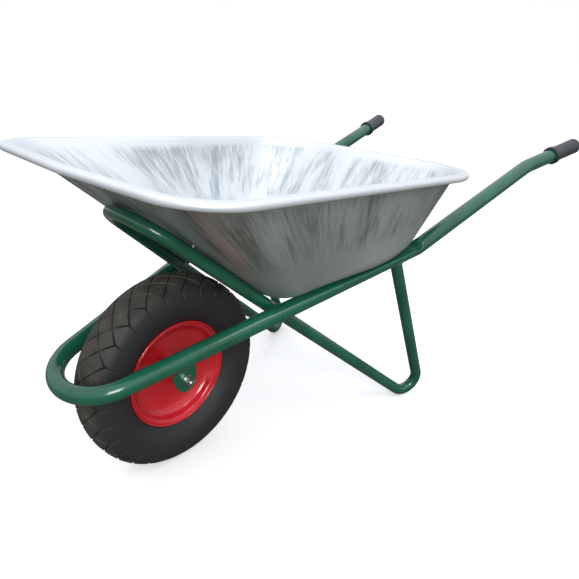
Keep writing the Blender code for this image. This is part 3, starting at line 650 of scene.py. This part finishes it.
# %% Skin the tray
def grow(obj, ring, places):
    """Extrudes a ring of vertices, moves each new one to its place, and returns the new ring."""
    station = {tuple(obj.data.vertices[index].co): i for i, index in enumerate(ring)}
    bpy.ops.object.mode_set(mode="EDIT")
    bpy.ops.mesh.extrude_region()
    leave()
    made = {station[tuple(v.co)]: v.index for v in obj.data.vertices if v.select}
    for i, index in made.items():
        obj.data.vertices[index].co = places[i]
    return [made[i] for i in range(len(places))]


rows = list(zip(*sections))
tray = ring_primitive("steel_tray", rows[0])
edit(tray)
leave()
rings = [list(range(len(rows[0])))]
for row in rows[1:]:
    rings.append(grow(tray, rings[-1], row))
mesh = tray.data
edit(tray, "DESELECT")
leave()
for index in rings[0]:
    mesh.vertices[index].select = True
bpy.ops.object.mode_set(mode="EDIT")
bpy.ops.mesh.edge_face_add()
face_out()
leave()
print("tray skinned with", len(mesh.polygons), "faces")

# %% Measure the sheet for its finish
round_metres, up_metres = [0.0], [0.0]
middle_row = rows[12]
for one, two in zip(middle_row, middle_row[1:] + middle_row[:1]):
    round_metres.append(round_metres[-1] + (two - one).length)
side_line = sections[len(sections) // 4]
for one, two in zip(side_line, side_line[1:]):
    up_metres.append(up_metres[-1] + (two - one).length)
where = {index: (row, station) for row, ring in enumerate(rings)
         for station, index in enumerate(ring)}
while mesh.uv_layers:
    mesh.uv_layers.remove(mesh.uv_layers[0])
uv_map = mesh.uv_layers.new(name="sheet_metres")
for face in mesh.polygons:
    stations = [where[index][1] for index in face.vertices]
    closes = len(stations) == 4 and max(stations) - min(stations) > 1
    for loop in face.loop_indices:
        row, station = where[mesh.loops[loop].vertex_index]
        if len(stations) > 4:
            uv_map.data[loop].uv = mesh.vertices[mesh.loops[loop].vertex_index].co.yx
        else:
            around = len(sections) if closes and station == 0 else station
            uv_map.data[loop].uv = (round_metres[around], up_metres[row])
rise = mesh.attributes.new("rise", "FLOAT", "POINT")
for index, (row, station) in where.items():
    rise.data[index].value = up_metres[row] / up_metres[-1]
mesh.materials.append(zinc_outside_painted_shade)
mesh.materials.append(zinc_inside_painted_light)
print("sheet is", round(round_metres[-1], 3), "m round and", round(up_metres[-1], 3), "m up")

# %% Give the sheet its thickness
only(tray)
floor_face = max(mesh.polygons, key=lambda face: len(face.vertices))
if floor_face.normal.z > 0:
    mesh.flip_normals()
shell = tray.modifiers.new("sheet", "SOLIDIFY")
shell.thickness, shell.offset, shell.use_even_offset = SHEET, -1.0, True
shell.material_offset, shell.material_offset_rim = 1, 1
bpy.ops.object.modifier_apply(modifier="sheet")
bpy.ops.object.shade_smooth_by_angle(angle=radians(40))
take_place(tray, "tray")
print("tray sheet", len(tray.data.polygons), "faces,", rounded(tray.dimensions))

# %% [markdown]
# ## The tyre
# A barrow tyre is moulded in one piece. Its tread is a lattice of V grooves that cross at a
# slant, and a thin sipe runs out onto the shoulder from each outer crossing. The lattice
# repeats 28 times round, so only one pitch of it is modelled: a grid is laid over one slice of
# the casing and pressed in along the grooves. Spin then copies that slice round the axle.

# %% The casing's section
SIDE = 49 * MM


def smooth_line(points, step):
    """A smooth line of (radius, y) places through the given ones, in about equal steps."""
    places = [Vector((r, y)) for r, y in points]
    line = []
    for i in range(len(places) - 1):
        p0, p1 = places[max(i - 1, 0)], places[i]
        p2, p3 = places[i + 1], places[min(i + 2, len(places) - 1)]
        count = max(2, ceil((p2 - p1).length / step))
        for j in range(count):
            t = j / count
            line.append(0.5 * (2 * p1 + (p2 - p0) * t + (2 * p0 - 5 * p1 + 4 * p2 - p3) * t * t
                               + (3 * p1 - p0 - 3 * p2 + p3) * t * t * t))
    return line + [places[-1]]


def placed_along(line, reach):
    """The place and the outward normal at a distance along a line of (radius, y) places."""
    for one, two in zip(line, line[1:]):
        length = (two - one).length
        if reach <= length or two is line[-1]:
            along = (two - one).normalized()
            return one + along * reach, Vector((along.y, -along.x))
        reach -= length


CASING = ((0.2000, 0.0), (0.1987, 0.0150), (0.1940, 0.0310), (0.1800, 0.0450),
          (0.1580, SIDE), (0.1370, 0.0463), (0.1190, 0.0345), (0.1110, 0.0262),
          (0.1027, 0.0235))
LINING = ((0.1027, 0.0150), (0.1200, 0.0240), (0.1360, 0.0375), (0.1600, 0.0410),
          (0.1895, 0.0180))
half_casing = smooth_line(CASING, 0.5 * MM)
casing_length = sum((b - a).length for a, b in zip(half_casing, half_casing[1:]))
print("casing is", round(casing_length * 1000, 1), "mm from crown to bead")

# %% Tread of one pitch
PITCHES, CELLS = 28, 16  # lattice cells round the tyre, and grid cells in one pitch
PITCH = tau / PITCHES
ROW, HALF_DIAMOND, TREAD_ROWS = 2.6875 * MM, 8, 25
WALL_ROWS = 18
GROOVE, SIPE, SHOULDER_CUT = 2.8 * MM, 1.5 * MM, 1.6 * MM
FIRST_CROSSING = radians(-2.6)


def row_reach(row):
    """How far a row lies from the crown: close rows on the tread, wider ones on the wall."""
    if row <= TREAD_ROWS:
        return row * ROW
    rest = casing_length - TREAD_ROWS * ROW
    return TREAD_ROWS * ROW + rest * (row - TREAD_ROWS) / WALL_ROWS


def pressed(column, row):
    """How deep the mould presses in at a place counted in cells round and rows out."""
    out = abs(row)
    if out <= 2 * HALF_DIAMOND:
        slants = [(column + way * out) / CELLS for way in (1, -1)]
        off = min(abs(u - round(u)) for u in slants) * CELLS
        deeper = SHOULDER_CUT * max(0.0, out / HALF_DIAMOND - 1)
        return (GROOVE + deeper) * max(0.0, 1 - off)
    bend = 1.1 * sin((out - 2 * HALF_DIAMOND) / 4.5)
    off = abs((column - bend + CELLS / 2) % CELLS - CELLS / 2)
    fade = min(1.0, (TREAD_ROWS + 0.5 - out) / 2)
    start = max(0.0, 1 - (out - 2 * HALF_DIAMOND) / 3)
    depth = SIPE + start * (GROOVE + SHOULDER_CUT - SIPE)
    return depth * max(0.0, 1 - off / 0.75) * max(fade, 0.0)


edge_rows = TREAD_ROWS + WALL_ROWS
lining = [Vector(p) for p in LINING] + [Vector((r, -y)) for r, y in reversed(LINING)]
all_rows = 2 * edge_rows + len(lining) + 1
bpy.ops.object.select_all(action="DESELECT")
bpy.ops.mesh.primitive_grid_add(x_subdivisions=CELLS, y_subdivisions=all_rows, size=2)
tyre = bpy.context.object
tyre.name = "tyre_casing"
edit(tyre, "DESELECT")
leave()
for vertex in tyre.data.vertices:
    vertex.select = abs((vertex.co.y + 1) / 2 * all_rows - edge_rows) < TREAD_ROWS + 0.1
bpy.ops.object.mode_set(mode="EDIT")
bpy.ops.mesh.poke()
leave()
for vertex in tyre.data.vertices:
    column = (vertex.co.x + 1) / 2 * CELLS
    row = (vertex.co.y + 1) / 2 * all_rows - edge_rows
    if abs(row) <= edge_rows + 0.01:
        place, out = placed_along(half_casing, min(row_reach(abs(row)), casing_length))
        place = place - out * pressed(column, row)
        place = Vector((place.x, copysign(place.y, row)))
    else:
        inner = round(row) - edge_rows - 1
        place = lining[inner] if inner < len(lining) else Vector((CASING[-1][0], -CASING[-1][1]))
    angle = column / CELLS * PITCH + FIRST_CROSSING
    vertex.co = AXLE + Vector((place.x * cos(angle), place.y, place.x * sin(angle)))
print("one pitch has", len(tyre.data.polygons), "faces")

# %% Copy the pitch round the axle
edit(tyre)
bpy.ops.mesh.spin(steps=PITCHES - 1, dupli=True, angle=tau - PITCH, center=AXLE, axis=Y_AXIS)
bpy.ops.mesh.select_all(action="SELECT")
bpy.ops.mesh.remove_doubles(threshold=0.05 * MM)
face_out()
leave()
bpy.ops.object.shade_smooth_by_angle(angle=radians(24))
take_place(tyre, "tyre")
print("tyre", len(tyre.data.polygons), "faces,", rounded(tyre.dimensions))

# %% [markdown]
# ## The wheel
# Two dishes pressed from 2 mm sheet are welded back to back. Each has a rolled edge that holds
# the tyre, a smooth bowl, and a collar that is pressed out round the hub tube. All of these
# parts are round, so each is an outline spun about the axle. A smooth line is drawn down the
# middle of the sheet first, and its two faces are set off from it.

# %% Rim halves
rim_line = smooth_line(((0.1078, 0.0296), (0.1050, 0.0283), (0.1015, 0.0262), (0.0992, 0.0218),
                        (0.0955, 0.0160), (0.0880, 0.0102), (0.0760, 0.0055), (0.0600, 0.0026),
                        (0.0420, 0.0018), (0.0320, 0.0021), (0.0262, 0.0048), (0.0215, 0.0095),
                        (0.0176, 0.0122), (0.0173, 0.0135)), 2.2 * MM)
towards_tyre, towards_hand = [], []
for i, place in enumerate(rim_line):
    along = (rim_line[min(i + 1, len(rim_line) - 1)] - rim_line[max(i - 1, 0)]).normalized()
    out = Vector((along.y, -along.x)) * 1.0 * MM
    towards_tyre.append(tuple(place - out))
    towards_hand.append(tuple(place + out))
rolled = arc(0.1108, 0.0299, 2.3 * MM, 185, -110, 12)
rim_outline = rolled + towards_tyre + towards_hand[::-1]
rim_outline = [(max(r, 0.0163), max(y, 0.3 * MM)) for r, y in rim_outline]
for label, side in SIDES:
    outline = [(r, side * y) for r, y in rim_outline]
    take_place(turned(f"rim_dish_{label}", outline, AXLE, Y_AXIS, 96, 50), f"rim_half_{label}")
print("rim dishes from an outline of", len(rim_outline), "points")

# %% Hub tube and bushes
outline = [(0.0135, -0.0400), (0.0150, -0.0400), (0.0160, -0.0390), (0.0160, 0.0390),
           (0.0150, 0.0400), (0.0135, 0.0400)]
take_place(turned("hub_sleeve", outline, AXLE, Y_AXIS, 64), "hub_tube")
for label, side in SIDES:
    outline = [(0.0063, 0.0260), (0.0132, 0.0260), (0.0132, 0.0403), (0.0154, 0.0403),
               (0.0160, 0.0409), (0.0160, 0.0417), (0.0154, 0.0423), (0.0100, 0.0423),
               (0.0094, 0.0417), (0.0068, 0.0417), (0.0063, 0.0412)]
    bush = turned(f"nylon_bush_{label}", [(r, side * y) for r, y in outline], AXLE, Y_AXIS, 64)
    take_place(bush, f"hub_bearing_{label}")
print("hub tube and bushes made")

# %% [markdown]
# ## Fasteners
# A nut is turned from hexagonal bar, which is why its corners carry a curved chamfer: it is
# what remains of a cone. It is modelled the same way, as a round outline spun about its axis,
# whose vertices are then pulled in to six flats. The axis and the place of each fastener are
# measured on the working model.

# %% Measure a fastener
def lie_of(washer, bolt):
    """The centre of a washer, and its axis, which points to the head of the bolt through it."""
    mesh, low_high = frame["nodes"][washer].data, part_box(washer)
    facing = {}
    for face in mesh.polygons:
        key = tuple(round(abs(part), 2) for part in face.normal)
        facing.setdefault(key, []).append(face)
    flat = max(facing.values(), key=lambda faces: sum(face.area for face in faces))
    centre = (low_high[0] + low_high[1]) / 2
    axis = flat[0].normal.copy()
    head = sum(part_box(bolt), Vector()) / 2
    return centre, axis if axis.dot(head - centre) > 0 else -axis


def reach_of(node, centre, axis):
    """How far a node reaches below and above a point along an axis."""
    levels = [(vertex.co - centre).dot(axis) for vertex in frame["nodes"][node].data.vertices]
    return min(levels), max(levels)


def hexagonal(obj, centre, axis, across):
    """Pulls every vertex that stands outside a hexagonal bar onto its nearest flat."""
    first = axis.orthogonal().normalized()
    second = axis.cross(first)
    for vertex in obj.data.vertices:
        off = vertex.co - centre
        x, y = off.dot(first), off.dot(second)
        radius, angle = hypot(x, y), atan2(y, x)
        flat = radians(30)
        limit = across / 2 / cos((angle + tau) % (2 * flat) - flat)
        if radius > limit:
            along = axis * off.dot(axis)
            vertex.co = centre + along + (off - along) * limit / radius
    return obj


def nut_outline(bore, across, low, high):
    """A chamfered nut's section, from the bore out to the corners and back."""
    corner, ease = across / sqrt(3), 0.07 * across
    return [(bore, low + 0.4 * ease), (bore + 0.4 * ease, low), (0.90 * corner, low),
            (corner, low + ease), (corner, high - ease), (0.90 * corner, high),
            (bore + 0.4 * ease, high), (bore, high - 0.4 * ease)]


seat, lean = lie_of("tray_washer_rear_left", "tray_bolt_rear_left")
print("a washer lies at", rounded(seat), "and faces", rounded(lean))

# %% Axle bolt, nut, washers and sleeves
def threaded(radius, start, end, pitch):
    """The edge of a thread as rings from start to end along an axis."""
    count = max(1, round(abs(end - start) / pitch))
    edge = []
    for i in range(count):
        at, step = start + (end - start) * i / count, (end - start) / count
        edge += [(radius - 0.35 * pitch, at), (radius, at + 0.5 * step)]
    return edge + [(radius - 0.35 * pitch, end)]


AXLE_ROD, AXLE_BORE, ACROSS = 6.0 * MM, 6.3 * MM, 19 * MM
low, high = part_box("axle_bolt")
head_from = high.y - 8 * MM
stud = ([(0.0, high.y), (0.0101, high.y), (0.0110, high.y - 0.9 * MM), (0.0110, head_from),
         (AXLE_ROD, head_from)] + threaded(AXLE_ROD, -0.0575, low.y + 1 * MM, 1.5 * MM)
        + [(0.0046, low.y), (0.0, low.y)])
axle_bolt = turned("wheel_axle_bolt", stud, AXLE, Y_AXIS, 48, 30)
for vertex in axle_bolt.data.vertices:
    if vertex.co.y > head_from - 0.1 * MM:
        x, z = vertex.co.x - AXLE.x, vertex.co.z - AXLE.z
        limit = ACROSS / 2 / cos(atan2(z, x) % radians(60) - radians(30))
        scale = min(1.0, limit / max(hypot(x, z), MM))
        vertex.co.x, vertex.co.z = AXLE.x + x * scale, AXLE.z + z * scale
take_place(axle_bolt, "axle_bolt")
low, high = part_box("axle_nut")
nut = turned("wheel_axle_nut", nut_outline(6.2 * MM, ACROSS, low.y, high.y), AXLE, Y_AXIS, 48, 30)
take_place(hexagonal(nut, AXLE, Y_AXIS, ACROSS), "axle_nut")
for kind, radius in (("axle_washer", 0.0120), ("spacer_sleeve", 0.0095)):
    for label in ("left", "right"):
        low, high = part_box(f"{kind}_{label}")
        ease = 0.35 * MM
        ring = [(AXLE_BORE, low.y), (radius - ease, low.y), (radius, low.y + ease),
                (radius, high.y - ease), (radius - ease, high.y), (AXLE_BORE, high.y)]
        take_place(turned(f"wheel_{kind}_{label}", ring, AXLE, Y_AXIS, 48), f"{kind}_{label}")
print("axle bolt and its nut made")

# %% Tray bolts
HEAD, HEAD_RISE, SHANK, WASHER = 6.0 * MM, 3.2 * MM, 3.0 * MM, 7.5 * MM
crown = (HEAD ** 2 + HEAD_RISE ** 2) / (2 * HEAD_RISE)
rim_angle = degrees(acos(HEAD / crown))
for label in ("rear_left", "rear_right", "front_left", "front_right"):
    bolt, washer = f"tray_bolt_{label}", f"tray_washer_{label}"
    centre, axis = lie_of(washer, bolt)
    low, high = reach_of(bolt, centre, axis)
    dome = arc(0.0, high - crown, crown, 90, rim_angle, 8)
    outline = (dome + [(HEAD, high - HEAD_RISE), (SHANK, high - HEAD_RISE)]
               + threaded(SHANK, -2 * MM, low + 0.6 * MM, 1.0 * MM) + [(2.2 * MM, low), (0, low)])
    take_place(turned(f"cup_head_{label}", outline, centre, axis, 32, 30), bolt)
    low, high = reach_of(washer, centre, axis)
    ease = 0.2 * MM
    outline = [(3.3 * MM, low), (WASHER - ease, low), (WASHER, low + ease), (WASHER, high - ease),
               (WASHER - ease, high), (3.3 * MM, high)]
    take_place(turned(f"plain_washer_{label}", outline, centre, axis, 32), washer)
print("four tray bolts made")

# %% [markdown]
# ## Axle plates
# Each plate is cut from 5 mm strip, rounded below, and bent outwards above the axle so that its
# top meets the rail. The outline is laid flat, filled, cut across at the bend, and given its
# thickness by extruding. Moving the vertices above the cut outwards then makes the bend.

# %% Bend and place the plates
PLATE_Y, PLATE_SHEET, BEND_AT, FOOT_ROUND = 53 * MM, 5 * MM, 30 * MM, 20.5 * MM
RISE_X = 0.218  # the rails rise by this for each metre of X, and the plates lean with them
LEAN_OUT = (0.1240 - 0.0530) / (0.1000 - 0.0300)
plate_side = [(-0.0300, 0.030), (-0.0290, 0.012), (-0.0260, -0.006)]
plate_low = [(FOOT_ROUND * cos(a) - 0.0035, FOOT_ROUND * sin(a) - 0.0035)
             for a in map(radians, range(200, 341, 14))]
plate_far = [(0.0215, -0.006), (0.0240, 0.012), (0.0270, 0.030), (0.0370, 0.100)]
plate_edge = [(-0.0380, 0.100)] + plate_side + plate_low + plate_far
for label, side in SIDES:
    flat = [AXLE + Vector((x - RISE_X * z, side * PLATE_Y, z + RISE_X * x))
            for x, z in plate_edge]
    plate = ring_primitive(f"drop_plate_{label}", flat)
    edit(plate)
    bpy.ops.mesh.edge_face_add()
    bend_up = Vector((-RISE_X, 0, 1)).normalized()
    for level in (BEND_AT - 4 * MM, BEND_AT, BEND_AT + 4 * MM, 0.062):
        bpy.ops.mesh.select_all(action="SELECT")
        bpy.ops.mesh.bisect(plane_co=AXLE + bend_up * level, plane_no=bend_up)
    bpy.ops.mesh.select_all(action="SELECT")
    bpy.ops.mesh.extrude_region_move(TRANSFORM_OT_translate={"value": (0, side * PLATE_SHEET, 0)})
    face_out()
    leave()
    edge_ease = plate.modifiers.new("edges", "BEVEL")
    edge_ease.width, edge_ease.segments, edge_ease.limit_method = 0.7 * MM, 2, "ANGLE"
    bpy.ops.object.modifier_apply(modifier="edges")
    for vertex in plate.data.vertices:
        over = (vertex.co - AXLE).dot(bend_up) - BEND_AT + 4 * MM
        bent = max(0.0, over - 4 * MM) if over > 8 * MM else max(0.0, over) ** 2 / (16 * MM)
        vertex.co.y += side * LEAN_OUT * bent
    take_place(round_off(plate, 35), f"axle_plate_{label}")
    print(plate.name, rounded(plate.dimensions))

# %% [markdown]
# ## Welds
# The frame is joined by short arc welds, and the enamel runs over them, so each shows as a
# lumpy rounded bead. A bead is a thin bar along its seam whose thickness swells and shrinks
# with each drop of metal. Where one tube ends on another, the seam is found by sliding each
# line of the first tube's skin until it touches the second.


# %% Lay a weld bead
def weld(name, seam, radius, drop=4 * MM):
    """A lumpy bead of green-painted weld metal along a seam, fixed to the frame."""
    dense = divided(seam, drop / 4)
    travelled, swells = 0.0, []
    for before, place in zip(dense[:1] + dense, dense):
        travelled += (place - before).length
        swells.append(0.82 + 0.18 * cos(tau * travelled / drop)
                      + 0.2 * noise.noise(place * 180))
    bead = skinned(name, dense, radius, sides=3, smooth=60, swells=swells)
    bead.data.materials.append(green_enamel)
    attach(bead, "frame")


def meets(start, along, on_axis, axis, radius):
    """Where a line from start first comes within radius of an axis."""
    off = start - on_axis
    flat_off, flat_along = off - axis * off.dot(axis), along - axis * along.dot(axis)
    a, b = flat_along.length_squared, flat_off.dot(flat_along)
    root = max(0.0, b * b - a * (flat_off.length_squared - radius * radius))
    return start + along * (-b - sqrt(root)) / a


CROSSING, PLATE_SEAM_UP = Vector((0.147, 0.1455, 0.338)), 91.5 * MM


def rail_at(x, side):
    """A point of the rail's centre line."""
    return GROUND + Vector((x, side * (0.128 + 0.232 * x), 0.306 + RISE_X * x))


for label, side in SIDES:
    mirror = Vector((1, side, 1))
    on_rail, rail = rail_at(0.4, side), (rail_at(1, side) - rail_at(0, side)).normalized()
    top, foot = (GROUND + Vector(LEG_CORNERS[i][0]) * mirror for i in (0, 1))
    rising = (top - foot).normalized()
    first = rising.orthogonal().normalized()
    second = rising.cross(first)
    seam = [meets(foot + (first * cos(a) + second * sin(a)) * LEG, rising, on_rail,
                  rail, TUBE) for a in (tau * i / 24 for i in range(25))]
    weld(f"strut_weld_{label}", seam, 2.2 * MM)
    touch = GROUND + CROSSING * mirror
    for edge, level in (("top", 7 * MM), ("low", -7 * MM)):
        half, middle = rail * 11 * MM, touch + Vector((0, 0, level))
        weld(f"crossing_weld_{edge}_{label}", [middle - half, middle + half], 3.0 * MM)
    seat = AXLE + bend_up * PLATE_SEAM_UP
    seam = [Vector((seat.x, side * (rail_at(0, 1).y - 0.0115), seat.z)) + rail * step * MM
            for step in (-34, -12, 12, 34)]
    weld(f"plate_weld_{label}", seam, 2.4 * MM)
    plug = AXLE + Vector((-11 * MM, side * (PLATE_Y + PLATE_SHEET), 24 * MM))
    ring = [plug + Vector((cos(a), 0, sin(a))) * 4.2 * MM
            for a in (tau * i / 20 for i in range(21))]
    weld(f"plug_weld_{label}", ring, 1.3 * MM)
print("welds laid")

# %% [markdown]
# ## Grips
# A grip is a moulded sleeve pushed over the end of the handle. Its outer end is closed and
# rounded, and its inner end carries a thicker collar that stops the hand. One outline holds
# all of that, and is spun about the handle. A small slot on top near the end lets the air out
# as the sleeve is pushed on: its faces are inset and pushed in.

# %% Mould the grips
GRIP, COLLAR, LENGTH = 19 * MM, 22 * MM, 98 * MM
SLOT_FROM, SLOT_TO = -6 * MM, -10 * MM
hold = [(GRIP, SLOT_FROM), (GRIP, SLOT_TO), (GRIP - 0.4 * MM, -LENGTH / 2)]
grip_outline = ([(0.0, 4 * MM)] + arc(GRIP - 4 * MM, 0.0, 4 * MM, 90, 0, 6) + hold
                + arc(GRIP + 1.2 * MM, -LENGTH + 13.2 * MM, 1.2 * MM, 180, 250, 3)
                + arc(COLLAR - 2 * MM, -LENGTH + 9.6 * MM, 2 * MM, 90, 0, 4)
                + arc(COLLAR - 2 * MM, -LENGTH + 2 * MM, 2 * MM, 0, -90, 4)
                + [(TUBE + 0.6 * MM, -LENGTH), (TUBE + 0.6 * MM, 0.3 * MM), (0.0, 0.3 * MM)])
for label, side in SIDES:
    mirror = Vector((1, side, 1))
    end, bend = (GROUND + Vector(MAIN_CORNERS[i][0]) * mirror for i in (0, 1))
    axis = (end - bend).normalized()
    grip = turned(f"handle_grip_{label}", grip_outline, end, axis, 64, 40)
    only(grip)
    bpy.context.tool_settings.mesh_select_mode = (False, False, True)
    for face in grip.data.polygons:
        off = face.center - end
        level, over = off.dot(axis), (off - axis * off.dot(axis)).normalized()
        on_top = over.z > 0.86 and face.normal.dot(over) > 0.9
        face.select = on_top and SLOT_TO < level < SLOT_FROM
    bpy.ops.object.mode_set(mode="EDIT")
    bpy.ops.mesh.inset(thickness=0.5 * MM)
    bpy.ops.mesh.extrude_region_move(TRANSFORM_OT_translate={"value": (0, 0, -1.4 * MM)})
    leave()
    bpy.context.tool_settings.mesh_select_mode = (True, False, False)
    bpy.ops.object.shade_smooth_by_angle(angle=radians(40))
    take_place(grip, f"grip_{label}")
print("grips of", len(grip_outline), "outline points")

# %% Valve
VALVE_AT = radians(300)
spoke = Vector((cos(VALVE_AT), 0, sin(VALVE_AT)))
root, port = AXLE + Y_AXIS * 1.2 * MM + spoke * 0.1212, AXLE + Y_AXIS * 11.7 * MM + spoke * 0.0945
run = (port - root).normalized()
stem = [(1.5 * MM, 0), (4 * MM, 0), (4 * MM, 0.0335), (3.6 * MM, 0.0352)]
stem += threaded(3.0 * MM, 0.0362, 0.0437, 0.9 * MM) + [(1.5 * MM, 0.044)]
take_place(turned("rubber_valve_stem", stem, root, run, 32, 30), "valve_stem")
cap = [(0, 0.0465), (4.0 * MM, 0.0465), (4.8 * MM, 0.0457), (4.8 * MM, 0.0380),
       (4.5 * MM, 0.0375), (3.3 * MM, 0.0375), (3.3 * MM, 0.0443), (0, 0.0443)]
take_place(turned("valve_dust_cap", cap, root, run, 32, 30), "valve_cap")
print("valve at", rounded(port))
